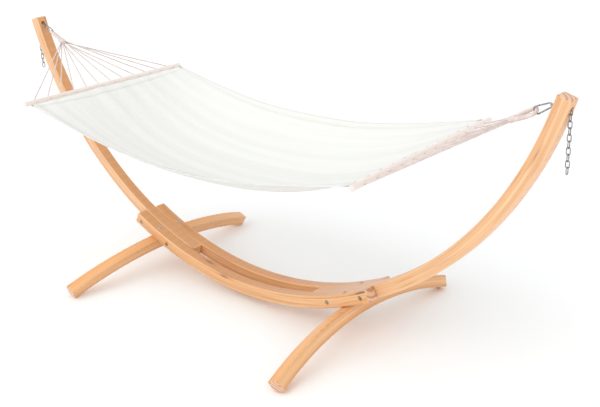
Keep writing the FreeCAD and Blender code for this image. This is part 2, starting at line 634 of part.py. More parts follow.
def bed_sheet():
    """The fabric as one closed solid: straight at the bars, sagging and bellied in the middle."""
    half_count = int(size("bed_half_sections"))
    sections = [bed_section(step / half_count) for step in range(-half_count, half_count + 1)]
    return Part.makeLoft(sections, True, False)


# ---------------------------------------------------------------- assembly
make_beam("centre_beam_front", -BEAM_OFFSET, False)
make_beam("centre_beam_back", BEAM_OFFSET, True)
for end, half_turn in (("right", False), ("left", True)):
    make_arm(f"arm_{end}", half_turn)
    make_foot(f"foot_{end}", half_turn)
    bolts, washers, nuts = cross_fasteners()
    add_feature(f"cross_bolts_{end}", bolts, half_turn)
    add_feature(f"cross_washers_{end}", washers, half_turn)
    add_feature(f"cross_nuts_{end}", nuts, half_turn)
    bolts, washers, nuts = foot_fasteners()
    add_feature(f"foot_bolts_{end}", bolts, half_turn)
    add_feature(f"foot_washers_{end}", washers, half_turn)
    add_feature(f"foot_nuts_{end}", nuts, half_turn)
    links, hook_wire, hook_way, tail_top = held_chain()
    add_feature(f"held_chain_{end}", links, half_turn)
    for number in range(int(size("tail_links"))):
        flat = X_AXIS if number % 2 else Y_AXIS
        pivot = tail_top - Z_AXIS * (number * (WIRE_TO_WIRE - STEP_BACK))
        link = chain_link(pivot, Z_AXIS * -1, flat)
        add_feature(f"tail_link_{number + 1}_{end}", link, half_turn)
    hook, gate, pin, hinge, inward = snap_hook_parts(hook_wire, hook_way)
    add_feature(f"snap_hook_{end}", hook, half_turn)
    add_feature(f"snap_gate_{end}", gate, half_turn)
    add_feature(f"gate_pin_{end}", pin, half_turn)
    apex = eye_start(hook_wire, hook_way)
    eye_end = apex + hook_way * size("eye_length")
    whip_end = eye_end + hook_way * size("whip_length")
    skew = 0 if half_turn else size("bar_skew")
    eye, fan = rope_eye(apex, hook_way), rope_fan(skew, whip_end, hook_way)
    add_feature(f"rope_eye_{end}", eye, half_turn)
    add_feature(f"rope_binding_{end}", whipping(eye_end, hook_way).cut([eye, fan]), half_turn)
    add_feature(f"rope_fan_{end}", fan, half_turn)
    add_feature(f"spreader_bar_{end}", spreader_bar(skew), half_turn)
add_feature("bed_sheet", bed_sheet())

doc.recompute()
clearance = tail_top.distanceToPoint(V(0, 0, ARC_CENTRE_HEIGHT)) - OUTER_RADIUS - WIRE / 2
print("hook pivot", tuple(hook_wire), "tail pivot", tuple(tail_top), "gate hinge", tuple(hinge))
print("link to arm face", round(clearance, 3), "arc centre height", round(ARC_CENTRE_HEIGHT, 3))

pieces = [o for o in doc.Objects if o.TypeId in ("PartDesign::Body", "Part::Feature")]
for item in doc.Objects:
    if {"Invalid", "Error"} & set(item.State):
        raise RuntimeError(f"{item.Label} did not recompute: {item.State}")
for piece in pieces:
    if piece.Shape.isNull() or not piece.Shape.isValid():
        raise RuntimeError(f"{piece.Label} has no valid shape")

os.makedirs("parts", exist_ok=True)
for piece in pieces:
    piece.Shape.exportStep(f"parts/{piece.Label}.step")
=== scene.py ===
import math

import bmesh
import bpy
from mathutils import Matrix, Vector


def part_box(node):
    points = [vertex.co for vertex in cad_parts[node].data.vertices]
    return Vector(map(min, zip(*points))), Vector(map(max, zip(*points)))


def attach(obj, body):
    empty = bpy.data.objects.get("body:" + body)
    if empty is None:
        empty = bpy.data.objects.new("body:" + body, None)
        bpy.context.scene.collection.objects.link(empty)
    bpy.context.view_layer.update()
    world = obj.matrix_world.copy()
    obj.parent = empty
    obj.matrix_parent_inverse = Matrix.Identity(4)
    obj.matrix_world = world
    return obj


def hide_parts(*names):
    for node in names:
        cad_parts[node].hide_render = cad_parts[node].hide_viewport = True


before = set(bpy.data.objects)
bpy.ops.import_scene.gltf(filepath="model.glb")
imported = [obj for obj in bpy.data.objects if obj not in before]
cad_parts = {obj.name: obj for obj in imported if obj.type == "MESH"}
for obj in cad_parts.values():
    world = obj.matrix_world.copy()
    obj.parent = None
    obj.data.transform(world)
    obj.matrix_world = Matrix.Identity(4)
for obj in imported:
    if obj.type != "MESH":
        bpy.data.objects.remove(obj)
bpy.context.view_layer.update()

# ------------------------------------------------------------ sizes of the stand, in metres
ARC_RADIUS = 1.648
TIMBER = 0.060
OUTER_RADIUS = ARC_RADIUS + TIMBER / 2
ARC_CENTRE_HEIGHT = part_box("centre_beam_front")[0].z + OUTER_RADIUS
BEAM_OFFSET = TIMBER
ARM_TOP_ANGLE = math.radians(72.7)
BEAM_END_ANGLE = math.radians(27.8)
FOOT_TILT = math.radians(22.5)
FOOT_SIZE = 0.058
FOOT_END_ANGLE = math.radians(21.2)
SEAT_RADIUS = ARC_RADIUS + FOOT_SIZE / 2 - 0.0026
LAMELLA = 0.0121
# painted light: the arms are a paler copy of the same wood, standing in for their brightly lit fronts
ARM_PAINTED_LIGHT = 0.3

# ------------------------------------------------------------ sizes of the hammock, in metres
BAR_SKEW = {"left": 0.0, "right": math.radians(2.5)}
ROPE_COUNT = 12
ROPE_PITCH = 0.080
ROPE_DIAMETER = 0.006
ROPE_LAY = 0.019
ROPE_LOBE_VALLEY = 0.22
BUNDLE_STEP, BUNDLE_ROW, BUNDLE_ROWS = 0.0028, 0.0054, 3
BUNDLE_SHORT_OF_EDGE = 0.004
ROPE_SEWN_REACH, ROPE_OUTSIDE_REACH, ROPE_BEND_LENGTH = 0.027, 0.017, 0.044
BAR_HEIGHT = sum(corner.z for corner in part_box("spreader_bar_left")) / 2
BED_HALF_WIDTH, BED_PULL = 0.488, 0.016
BED_HALF_LENGTH, BED_CUT_LENGTH = 0.981, 2.03
BED_HEM_SAG, BED_BELLY = 0.100, 0.180
BED_LEAST_BELLY, BED_BELOW_BAR = 0.0005, 0.002
BED_CELLS_LONG, BED_CELLS_WIDE = 110, 61
CLOTH_THICKNESS, HEM_THICKNESS_SHARE = 0.0014, 1.7
HEM_WIDTH = 0.026
SLEEVE_WIDTH = 0.030
STITCH_PITCH, STITCH_LENGTH, STITCH_RADIUS, STITCH_IN_FROM_HEM = 0.0075, 0.0048, 0.0004, 0.003
EYE_DIAMETER, EYE_BOW, EYE_LENGTH = 0.015, 0.017, 0.084
EYE_TILT = math.radians(33)
EYE_LEG_GAP, EYE_BURIED = 0.0004, 0.004
EYE_SWELL, EYE_SWELL_FROM, EYE_SWELL_TO = 0.24, 0.022, 0.050
SERVING_PITCH, SERVING_DEPTH = 0.0026, 0.0006
WHIPPING_PITCH, WHIPPING_DEPTH = 0.003, 0.0009
WHIPPING_ROUNDING, WHIPPING_ROUND_LENGTH = 0.12, 0.004
BINDING_LENGTH, BINDING_WIDE, BINDING_TALL = 0.030, 0.038, 0.025

X_AXIS, Y_AXIS, Z_AXIS = Vector((1, 0, 0)), Vector((0, 1, 0)), Vector((0, 0, 1))
ENDS = {"right": 1, "left": -1}


# ------------------------------------------------------------ camera, light and floor
def make_camera():
    """A long lens in front of the right end, above the hammock, looking down along it."""
    yaw, pitch, roll = (math.radians(a) for a in (42.5657, -21.2705, -2.6205))
    ahead = Vector((-math.sin(yaw) * math.cos(pitch), math.cos(yaw) * math.cos(pitch), math.sin(pitch)))
    level = Vector((math.cos(yaw), math.sin(yaw), 0))
    above = level.cross(ahead)
    right = level * math.cos(roll) + above * math.sin(roll)
    up = above * math.cos(roll) - level * math.sin(roll)
    data = bpy.data.cameras.new("camera")
    data.sensor_width, data.lens = 36, 55.18
    camera = bpy.data.objects.new("camera", data)
    turn = Matrix((right, up, -ahead)).transposed().to_4x4()
    camera.matrix_world = Matrix.Translation((2.9296, -2.8361, 2.0442)) @ turn
    bpy.context.scene.collection.objects.link(camera)
    bpy.context.scene.camera = camera


def soft_light(name, place, target, strength, width):
    """A far soft box: light from one side, as wide across the sky as the given degrees."""
    data = bpy.data.lights.new(name, "SUN")
    data.energy, data.angle = strength, math.radians(width)
    light = bpy.data.objects.new(name, data)
    light.location = place
    light.rotation_euler = (Vector(target) - Vector(place)).to_track_quat("-Z", "Y").to_euler()
    bpy.context.scene.collection.objects.link(light)


def make_studio():
    """White surroundings, two far soft boxes and a pale floor, shown as they are."""
    bpy.context.scene.view_settings.view_transform = "Standard"
    world = bpy.data.worlds.new("white studio")
    world.use_nodes = True
    world.node_tree.nodes["Background"].inputs["Color"].default_value = (1, 1, 1, 1)
    world.node_tree.nodes["Background"].inputs["Strength"].default_value = 0.86
    bpy.context.scene.world = world
    soft_light("key", (-1.2, -3.6, 4.2), (0, 0, 0.5), 1.0, 70)
    soft_light("side", (4.2, -0.6, 2.6), (0.2, 0, 0.6), 0.25, 70)
    floor_mesh = bpy.data.meshes.new("floor")
    form = bmesh.new()
    bmesh.ops.create_grid(form, x_segments=1, y_segments=1, size=30)
    form.to_mesh(floor_mesh)
    form.free()
    floor = bpy.data.objects.new("floor", floor_mesh)
    bpy.context.scene.collection.objects.link(floor)
    material, tree, shader = new_finish("pale floor", 0.7)
    place = add(tree, "ShaderNodeTexCoord").outputs["Object"]
    cloud = add(tree, "ShaderNodeTexNoise", {"Vector": place, "Scale": 0.8, "Detail": 2.0}).outputs["Fac"]
    tone = mix(tree, cloud, (0.965, 0.98, 0.985, 1), (0.98, 0.99, 0.995, 1))
    tree.links.new(tone, shader.inputs["Base Color"])
    floor.data.materials.append(material)


# ------------------------------------------------------------ node helpers
def new_finish(name, roughness):
    material = bpy.data.materials.new(name)
    material.use_nodes = True
    shader = material.node_tree.nodes["Principled BSDF"]
    shader.inputs["Roughness"].default_value = roughness
    return material, material.node_tree, shader


def add(tree, kind, inputs=None, **settings):
    """A new node; its inputs are given as plain values or as other nodes' outputs."""
    node = tree.nodes.new(kind)
    for name, value in settings.items():
        setattr(node, name, value)
    for socket, value in (inputs or {}).items():
        if isinstance(value, bpy.types.NodeSocket):
            tree.links.new(value, node.inputs[socket])
        else:
            node.inputs[socket].default_value = value
    return node


def maths(tree, operation, *values):
    return add(tree, "ShaderNodeMath", dict(enumerate(values)), operation=operation).outputs[0]


def step_up(tree, value, low, high, bottom=0.0, top=1.0):
    """A smooth rise from bottom to top as the value goes from low to high."""
    inputs = {"Value": value, "From Min": low, "From Max": high, "To Min": bottom, "To Max": top}
    return add(tree, "ShaderNodeMapRange", inputs, interpolation_type="SMOOTHSTEP").outputs["Result"]


def mix(tree, share, first, second, blend="MIX"):
    inputs = {0: share, 6: first, 7: second}
    return add(tree, "ShaderNodeMix", inputs, data_type="RGBA", blend_type=blend).outputs[2]


def vector(tree, x, y, z):
    return add(tree, "ShaderNodeCombineXYZ", {"X": x, "Y": y, "Z": z}).outputs[0]


def stretched_noise(tree, place, stretch, detail, seed=0.0):
    """Noise that runs long along one direction, between 0 and 1."""
    moved = add(tree, "ShaderNodeMapping", {"Vector": place, "Location": (seed,) * 3, "Scale": stretch})
    inputs = {"Vector": moved.outputs[0], "Scale": 1.0, "Detail": detail, "Roughness": 0.55}
    return add(tree, "ShaderNodeTexNoise", inputs).outputs["Fac"]


def bump(tree, shader, height, depth, strength=1.0):
    node = add(tree, "ShaderNodeBump", {"Height": height, "Distance": depth, "Strength": strength})
    tree.links.new(node.outputs["Normal"], shader.inputs["Normal"])


# ------------------------------------------------------------ finishes
def timber_finish(name, side, centre, offset, end_angle, painted_light_paler=0.0, foot=False):
    """Lacquered laminated softwood whose lamellae and grain follow the bend.

    side and centre turn and move the bend's own centre to the pattern's origin, offset is how far
    the timber stands to the side of it, end_angle is where its end grain begins, and the paler
    share is how much of the whitest wood is mixed in: painted light, a paler copy for brightly lit
    pieces.
    """
    material, tree, shader = new_finish(name, 0.34)
    shader.inputs["Coat Weight"].default_value = 0.35
    shader.inputs["Coat Roughness"].default_value = 0.16
    turn = Matrix.Rotation(side, 3, "Y")
    inputs = {
        "Vector": add(tree, "ShaderNodeTexCoord").outputs["Object"],
        "Location": -(turn @ centre),
        "Rotation": (0, side, 0),
    }
    x, y, z = add(tree, "ShaderNodeSeparateXYZ", {
        0: add(tree, "ShaderNodeMapping", inputs).outputs[0]}).outputs
    if foot:
        run, drop, breadth = y, z, x
    else:
        run, drop, breadth = x, maths(tree, "MULTIPLY", z, -1.0), y
    angle = maths(tree, "ARCTAN2", run, drop)
    radius = maths(tree, "SQRT", maths(tree, "ADD", maths(tree, "MULTIPLY", run, run),
                                       maths(tree, "MULTIPLY", drop, drop)))
    depth = maths(tree, "SUBTRACT", radius, ARC_RADIUS)
    along = maths(tree, "MULTIPLY", angle, ARC_RADIUS)

    level = maths(tree, "ADD", maths(tree, "DIVIDE", depth, LAMELLA), 0.5)
    number = maths(tree, "FLOOR", level)
    edge = maths(tree, "ABSOLUTE", maths(tree, "SUBTRACT", maths(tree, "FRACT", level), 0.5))
    glue_line = step_up(tree, edge, 0.452, 0.492)
    own_tone = add(tree, "ShaderNodeTexWhiteNoise", {"W": maths(tree, "ADD", number, offset * 50 + side)},
                   noise_dimensions="1D").outputs["Value"]
    shifted = maths(tree, "ADD", along, maths(tree, "MULTIPLY", number, 3.7))
    grain_place = vector(tree, shifted, breadth, depth)
    broad = stretched_noise(tree, grain_place, (0.9, 22, 22), 4.0, offset * 90 + 3)
    fine = stretched_noise(tree, grain_place, (5, 190, 190), 5.0, 11)
    patch = stretched_noise(tree, grain_place, (1.7, 9, 9), 2.0, 29)
    sweep = maths(tree, "ADD", maths(tree, "MULTIPLY", breadth, 430.0),
                  maths(tree, "MULTIPLY", depth, 300.0))
    wander = maths(tree, "ADD", sweep, maths(tree, "MULTIPLY", broad, 26.0))
    growth = step_up(tree, maths(tree, "SINE", wander), 0.25, 1.0)

    knot_place = add(tree, "ShaderNodeMapping", {"Vector": grain_place, "Scale": (3.1, 15, 15)})
    cells = add(tree, "ShaderNodeTexVoronoi", {"Vector": knot_place.outputs[0], "Scale": 1.0})
    cells = cells.outputs["Distance"]
    knot = step_up(tree, cells, 0.15, 0.07)
    knot_ring = maths(tree, "SUBTRACT", step_up(tree, cells, 0.30, 0.12), knot)

    colour = mix(tree, step_up(tree, broad, 0.3, 0.7), (0.86, 0.475, 0.215, 1), (0.72, 0.33, 0.118, 1))
    colour = mix(tree, step_up(tree, patch, 0.45, 0.75, 0.0, 0.45), colour, (0.90, 0.56, 0.29, 1))
    colour = mix(tree, maths(tree, "MULTIPLY", growth, 0.44), colour, (0.52, 0.205, 0.066, 1))
    colour = mix(tree, step_up(tree, fine, 0.5, 0.85, 0.0, 0.35), colour, (0.60, 0.27, 0.10, 1))
    colour = mix(tree, step_up(tree, own_tone, 0.0, 1.0, 0.0, 0.32), colour, (0.93, 0.60, 0.33, 1))
    # painted light: the whitest wood tone is mixed into pieces that stand brightly lit
    colour = mix(tree, painted_light_paler, colour, (0.97, 0.68, 0.43, 1))
    # partly painted light: the faces of the outermost lamellae get a richer orange, partly for their
    # flat-sawn wood and partly for the saturated look of the lit top faces
    face = step_up(tree, maths(tree, "ABSOLUTE", depth), 0.0275, 0.0296)
    colour = mix(tree, maths(tree, "MULTIPLY", face, 0.5), colour, (0.95, 0.43, 0.14, 1))
    colour = mix(tree, maths(tree, "MULTIPLY", glue_line, 0.42), colour, (0.42, 0.17, 0.06, 1))
    colour = mix(tree, maths(tree, "MULTIPLY", knot_ring, 0.5), colour, (0.58, 0.23, 0.07, 1))
    colour = mix(tree, maths(tree, "MULTIPLY", knot, 0.85), colour, (0.23, 0.085, 0.03, 1))
    sideways = maths(tree, "ABSOLUTE", maths(tree, "SUBTRACT", maths(tree, "ABSOLUTE", breadth), offset))
    corner = maths(tree, "MINIMUM", sideways, maths(tree, "ABSOLUTE", depth))
    worn = maths(tree, "MULTIPLY", step_up(tree, corner, 0.0235, 0.0285), step_up(tree, patch, 0.3, 0.6))
    colour = mix(tree, maths(tree, "MULTIPLY", worn, 0.30), colour, (0.95, 0.66, 0.40, 1))

    rings_place = maths(tree, "ADD", maths(tree, "POWER", maths(tree, "ADD", breadth, 0.05), 2.0),
                        maths(tree, "POWER", maths(tree, "ADD", depth, 0.04), 2.0))
    rings = step_up(tree, maths(tree, "SINE", maths(tree, "MULTIPLY", rings_place, 2600.0)), -0.2, 1.0)
    end_colour = mix(tree, rings, (0.80, 0.50, 0.33, 1), (0.55, 0.27, 0.15, 1))
    at_end = step_up(tree, maths(tree, "ABSOLUTE", angle), end_angle - 0.0034, end_angle - 0.0012)
    colour = mix(tree, at_end, colour, end_colour)
    tree.links.new(colour, shader.inputs["Base Color"])

    tree.links.new(step_up(tree, fine, 0.2, 0.8, 0.27, 0.42), shader.inputs["Roughness"])
    relief = maths(tree, "SUBTRACT", maths(tree, "MULTIPLY", fine, 0.5),
                   maths(tree, "ADD", glue_line, maths(tree, "MULTIPLY", growth, 0.25)))
    bump(tree, shader, relief, 0.0004, 0.55)
    return material


def bar_finish(name):
    """Pale sanded hardwood with its grain along Y."""
    material, tree, shader = new_finish(name, 0.5)
    place = add(tree, "ShaderNodeTexCoord").outputs["Object"]
    broad = stretched_noise(tree, place, (70, 1.6, 70), 4.0, 5)
    fine = stretched_noise(tree, place, (420, 12, 420), 4.0, 17)
    colour = mix(tree, step_up(tree, broad, 0.3, 0.7), (0.88, 0.81, 0.76, 1), (0.84, 0.74, 0.68, 1))
    colour = mix(tree, step_up(tree, fine, 0.45, 0.8, 0.0, 0.4), colour, (0.76, 0.60, 0.52, 1))
    tree.links.new(colour, shader.inputs["Base Color"])
    tree.links.new(step_up(tree, broad, 0.2, 0.8, 0.42, 0.58), shader.inputs["Roughness"])
    bump(tree, shader, fine, 0.0003, 0.5)
    return material


def zinc_finish(name, pale, dark):
    """Bright zinc plating with faint cloudy tints and fine scratches."""
    material, tree, shader = new_finish(name, 0.3)
    shader.inputs["Metallic"].default_value = 1.0
    place = add(tree, "ShaderNodeTexCoord").outputs["Object"]
    cloud = stretched_noise(tree, place, (90, 90, 90), 3.0, 2)
    scratch = stretched_noise(tree, place, (1500, 1500, 200), 3.0, 8)
    colour = mix(tree, step_up(tree, cloud, 0.3, 0.7), pale, dark)
    tree.links.new(colour, shader.inputs["Base Color"])
    tree.links.new(step_up(tree, scratch, 0.2, 0.9, 0.2, 0.44), shader.inputs["Roughness"])
    bump(tree, shader, scratch, 0.00008, 0.6)
    return material


def canvas_finish(name, pale, shade):
    """Off-white woven cotton; the weave and the soft lengthwise bands follow the piece's own map."""
    material, tree, shader = new_finish(name, 0.9)
    shader.inputs["Sheen Weight"].default_value = 0.25
    shader.inputs["Sheen Roughness"].default_value = 0.5
    u, v, _ = add(tree, "ShaderNodeSeparateXYZ", {
        0: add(tree, "ShaderNodeUVMap", uv_map="cut").outputs[0]}).outputs
    warp = maths(tree, "SINE", maths(tree, "MULTIPLY", v, math.tau / 0.0021))
    weft = maths(tree, "SINE", maths(tree, "MULTIPLY", u, math.tau / 0.0024))
    weave = maths(tree, "MULTIPLY", warp, weft)
    flat = vector(tree, u, v, 0.0)
    slub = stretched_noise(tree, flat, (7, 420, 1), 3.0, 4)
    cross_slub = stretched_noise(tree, flat, (420, 9, 1), 3.0, 41)
    bands = stretched_noise(tree, flat, (0.35, 17, 1), 3.0, 13)
    colour = mix(tree, step_up(tree, bands, 0.32, 0.68), shade, pale)
    colour = mix(tree, step_up(tree, slub, 0.5, 0.9, 0.0, 0.22), colour, (0.74, 0.74, 0.68, 1))
    colour = mix(tree, step_up(tree, cross_slub, 0.55, 0.9, 0.0, 0.12), colour, (0.74, 0.74, 0.69, 1))
    # painted shade: darker where the weave's threads dip lowest
    colour = mix(tree, step_up(tree, weave, -0.2, -1.0, 0.0, 0.14), colour, (0.60, 0.58, 0.51, 1))
    tree.links.new(colour, shader.inputs["Base Color"])
    relief = maths(tree, "ADD", weave, maths(tree, "MULTIPLY", maths(tree, "ADD", slub, cross_slub), 0.9))
    bump(tree, shader, relief, 0.0003, 0.5)
    return material


def cotton_finish(name, pale, shade):
    """Soft off-white cotton yarn."""
    material, tree, shader = new_finish(name, 0.85)
    shader.inputs["Sheen Weight"].default_value = 0.3
    shader.inputs["Sheen Roughness"].default_value = 0.6
    place = add(tree, "ShaderNodeTexCoord").outputs["Object"]
    cloud = stretched_noise(tree, place, (30, 30, 30), 2.0, 6)
    fibre = stretched_noise(tree, place, (1300, 1300, 1300), 3.0, 19)
    colour = mix(tree, step_up(tree, cloud, 0.3, 0.7), pale, shade)
    colour = mix(tree, step_up(tree, fibre, 0.5, 0.85, 0.0, 0.35), colour, (0.55, 0.43, 0.38, 1))
    tree.links.new(colour, shader.inputs["Base Color"])
    bump(tree, shader, fibre, 0.0003, 0.6)
    return material


def paint(names, material):
    """Give CAD nodes one finish in every slot."""
    for name in names:
        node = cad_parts[name]
        if not node.material_slots:
            node.data.materials.append(material)
        for slot in node.material_slots:
            slot.material = material


def paint_timber():
    centre = Vector((0, 0, ARC_CENTRE_HEIGHT))
    paint(["centre_beam_front", "centre_beam_back"],
          timber_finish("lacquered beam", 0, centre, BEAM_OFFSET, BEAM_END_ANGLE))
    paint(["arm_left", "arm_right"],
          timber_finish("lacquered arm", 0, centre, 0.0, ARM_TOP_ANGLE, painted_light_paler=ARM_PAINTED_LIGHT))
    for end, side in ENDS.items():
        seat = centre + Vector((side * math.sin(FOOT_TILT), 0, -math.cos(FOOT_TILT))) * OUTER_RADIUS
        up = Vector((-side * math.sin(FOOT_TILT), 0, math.cos(FOOT_TILT)))
        finish = timber_finish(f"lacquered foot {end}", side * FOOT_TILT, seat - up * SEAT_RADIUS, 0.0,
                               FOOT_END_ANGLE, foot=True)
        paint([f"foot_{end}"], finish)


# ------------------------------------------------------------ making meshes
def piece(name, form, materials, body):
    """Turn a bmesh into a finished piece that rides on a body."""
    mesh = bpy.data.meshes.new(name)
    bmesh.ops.recalc_face_normals(form, faces=form.faces)
    form.to_mesh(mesh)
    form.free()
    for polygon in mesh.polygons:
        polygon.use_smooth = True
    made = bpy.data.objects.new(name, mesh)
    for material in materials:
        mesh.materials.append(material)
    bpy.context.scene.collection.objects.link(made)
    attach(made, body)
    return made


def smooth_line(points):
    """Points along a smooth curve that takes the given points as its controls."""
    curve = bpy.data.curves.new("route", "CURVE")
    curve.dimensions = "3D"
    spline = curve.splines.new("NURBS")
    spline.points.add(len(points) - 1)
    for control, place in zip(spline.points, points):
        control.co = (*place, 1)
    spline.order_u, spline.use_endpoint_u = 3, True
    curve.resolution_u = 24
    holder = bpy.data.objects.new("route", curve)
    mesh = bpy.data.meshes.new_from_object(holder)
    line = [vertex.co.copy() for vertex in mesh.vertices]
    bpy.data.meshes.remove(mesh)
    bpy.data.curves.remove(curve)
    return line


def even_points(line, step):
    """Points spaced evenly along a line."""
    lengths = [(b - a).length for a, b in zip(line, line[1:])]
    count = max(2, round(sum(lengths) / step))
    spaced, passed, index = [], 0.0, 0
    for number in range(count + 1):
        target = min(sum(lengths) * number / count, sum(lengths) - 1e-9)
        while index < len(lengths) - 1 and passed + lengths[index] < target:
            passed += lengths[index]
            index += 1
        spaced.append(line[index].lerp(line[index + 1], (target - passed) / lengths[index]))
    return spaced


def frames_along(points, first_side):
    """A placement at each point, facing along the line and turning as little as it can."""
    frames, side = [], Vector(first_side)
    for index, place in enumerate(points):
        before, after = points[max(index - 1, 0)], points[min(index + 1, len(points) - 1)]
        ahead = (after - before).normalized()
        side = (side - ahead * side.dot(ahead)).normalized()
        turn = Matrix((side, ahead.cross(side), ahead)).transposed().to_4x4()
        frames.append(Matrix.Translation(place) @ turn)
    return frames


def sweep(form, ring, frames, capped=True):
    """Draw a ring of vertices, made at the origin, through the frames."""
    bmesh.ops.transform(form, matrix=frames[0], verts=ring)
    edges = list({edge for vertex in ring for edge in vertex.link_edges})
    verts, first = list(ring), list(ring)
    for last, new in zip(frames, frames[1:]):
        made = bmesh.ops.extrude_edge_only(form, edges=edges)["geom"]
        verts = [item for item in made if isinstance(item, bmesh.types.BMVert)]
        fresh = set(verts)
        edges = [item for item in made if isinstance(item, bmesh.types.BMEdge)
                 and item.verts[0] in fresh and item.verts[1] in fresh]
        bmesh.ops.transform(form, matrix=new @ last.inverted(), verts=verts)
    if capped:
        for end in (first, verts):
            loop = [edge for edge in {e for v in end for e in v.link_edges}
                    if edge.verts[0] in end and edge.verts[1] in end]
            bmesh.ops.contextual_create(form, geom=loop)


def lobed_ring(form, radius, strands, valley, per_strand=4):
    """A ring with one round lobe for each strand of the rope."""
    ring = bmesh.ops.create_circle(form, segments=strands * per_strand, radius=radius)["verts"]
    for vertex in ring:
        angle = math.atan2(vertex.co.y, vertex.co.x)
        vertex.co *= 1 - valley * (1 - abs(math.cos(angle * strands / 2)))
    return ring


def rise(value, low, high):
    """A straight rise from 0 to 1 as the value goes from low to high."""
    return min(max((value - low) / (high - low), 0), 1)


def twisted(frames, step, lay, first_turn=0.0):
    """The same frames, turned round the line once every lay."""
    return [f @ Matrix.Rotation(first_turn + math.tau * n * step / lay, 4, "Z")
            for n, f in enumerate(frames)]


def ridged(frames, step, pitch, depth, radius):
    """The same frames, narrowed between the turns of a cord wound round the line."""
    shaped = []
    for number, place in enumerate(frames):
        hollow = depth * (1 - abs(math.sin(math.pi * number * step / pitch)))
        shaped.append(place @ Matrix.Scale(1 - hollow / radius, 4))
    return shaped


# ------------------------------------------------------------ ropes, eyes and bindings
def end_places(end):
    """Middle of the bar and of the binding, and the directions that the harness is laid out in."""
    low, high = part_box(f"spreader_bar_{end}")
    bar = (low + high) / 2
    low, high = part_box(f"rope_binding_{end}")
    binding = (low + high) / 2
    way = (bar - binding).normalized()
    across = Y_AXIS * ENDS[end]
    above = across.cross(way) * -1 if across.cross(way).z < 0 else across.cross(way)
    return bar, binding, way, across, above


def rope_routes(end):
    """The route of each rope, from the hem of the bed through the bar to the binding."""
    bar, binding, way, across, above = end_places(end)
    turn = Matrix.Rotation(BAR_SKEW[end], 3, "Z")
    along, inward = turn @ across, turn @ (X_AXIS * -ENDS[end])
    routes = []
    for number in range(ROPE_COUNT):
        place = (number - (ROPE_COUNT - 1) / 2)
        hole = bar + along * (place * ROPE_PITCH)
        row = number % BUNDLE_ROWS - BUNDLE_ROWS // 2
        packed = across * (place * BUNDLE_STEP) + above * (row * BUNDLE_ROW)
        finish = binding + way * (BINDING_LENGTH / 2 - BUNDLE_SHORT_OF_EDGE) + packed
        outside = hole - inward * ROPE_OUTSIDE_REACH
        leaving = outside + (finish - outside).normalized() * ROPE_BEND_LENGTH
        routes.append([hole + inward * ROPE_SEWN_REACH, outside, leaving, finish])
    return routes


def make_ropes(end, cotton):
    step = ROPE_LAY / 10
    for number, route in enumerate(rope_routes(end), start=1):
        line = even_points(smooth_line(route), step)
        form = bmesh.new()
        ring = lobed_ring(form, ROPE_DIAMETER / 2, 3, ROPE_LOBE_VALLEY)
        frames = frames_along(line, Z_AXIS)
        sweep(form, ring, twisted(frames, step, ROPE_LAY, number))
        rope = piece(f"rope_{end}_{number}", form, [cotton], "hammock")
        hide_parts(f"rope_fan_{end}")


def make_eye(end, cotton):
    """The bound loop round the snap hook: a hairpin of rope served with thin cord."""
    _, binding, way, across, above = end_places(end)
    apex = binding - way * (BINDING_LENGTH / 2 + EYE_LENGTH)
    across = across * math.cos(EYE_TILT) + above * math.sin(EYE_TILT)
    above = way.cross(across)
    legs = (EYE_DIAMETER + EYE_LEG_GAP) / 2
    centre = apex + way * EYE_BOW
    leg_end = apex + way * (EYE_LENGTH + EYE_BURIED)
    reach = (leg_end - centre).length
    swing = math.atan2(legs, reach) + math.acos(EYE_BOW / math.hypot(reach, legs))
    arc_steps = 16
    line = [leg_end + across * legs]
    for number in range(arc_steps + 1):
        angle = swing + (math.tau - 2 * swing) * number / arc_steps
        line.append(centre + way * (EYE_BOW * math.cos(angle)) + across * (EYE_BOW * math.sin(angle)))
    line.append(leg_end - across * legs)
    step = 0.00065
    points = even_points(line, step)
    form = bmesh.new()
    ring = bmesh.ops.create_circle(form, segments=20, radius=EYE_DIAMETER / 2)["verts"]
    frames = ridged(frames_along(points, above), step, SERVING_PITCH, SERVING_DEPTH, EYE_DIAMETER / 2)
    for number, place in enumerate(frames):
        past_hook = rise((points[number] - apex).length, EYE_SWELL_FROM, EYE_SWELL_TO)
        frames[number] = place @ Matrix.Scale(1 + EYE_SWELL * past_hook, 4)
    sweep(form, ring, frames)
    eye = piece(f"served_eye_{end}", form, [cotton], "hammock")
    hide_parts(f"rope_eye_{end}")


def make_binding(end, cotton):
    """The oval whipping that holds eye and ropes together: a cord wound in close turns."""
    _, binding, way, _, above = end_places(end)
    step, radius = 0.0005, BINDING_TALL / 2
    start = binding - way * (BINDING_LENGTH / 2)
    points = even_points([start, start + way * BINDING_LENGTH], step)
    frames = ridged(frames_along(points, above), step, WHIPPING_PITCH, WHIPPING_DEPTH, radius)
    count = len(frames)
    for number, place in enumerate(frames):
        from_end = min(number, count - 1 - number) * step
        rounding = WHIPPING_ROUNDING * max(0, 1 - from_end / WHIPPING_ROUND_LENGTH) ** 2
        frames[number] = place @ Matrix.Scale(1 - rounding, 4)
    form = bmesh.new()
    ring = bmesh.ops.create_circle(form, segments=48, radius=radius)["verts"]
    bmesh.ops.scale(form, vec=(1, BINDING_WIDE / BINDING_TALL, 1), verts=ring)
    sweep(form, ring, frames)
    whipping = piece(f"whipping_{end}", form, [cotton], "hammock")
    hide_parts(f"rope_binding_{end}")


# ------------------------------------------------------------ the bed
def bed_place(u, v):
    """Where a point of the cut hangs: u and v go from -1 to 1 along and across the bed."""
    drop = 1 - u * u
    half = BED_HALF_WIDTH - BED_PULL * drop
    skew = math.tan(BAR_SKEW["right"]) * max(u, 0) ** 3
    belly = BED_BELLY * (1 - abs(u) ** 3) + BED_LEAST_BELLY
    radius = (half ** 2 + belly ** 2) / (2 * belly)
    low = math.sqrt(radius ** 2 - (half * v) ** 2) - (radius - belly)
    height = BAR_HEIGHT - BED_HEM_SAG * drop - low - BED_BELOW_BAR
    return Vector((u * BED_HALF_LENGTH - skew * half * v, half * v, height))


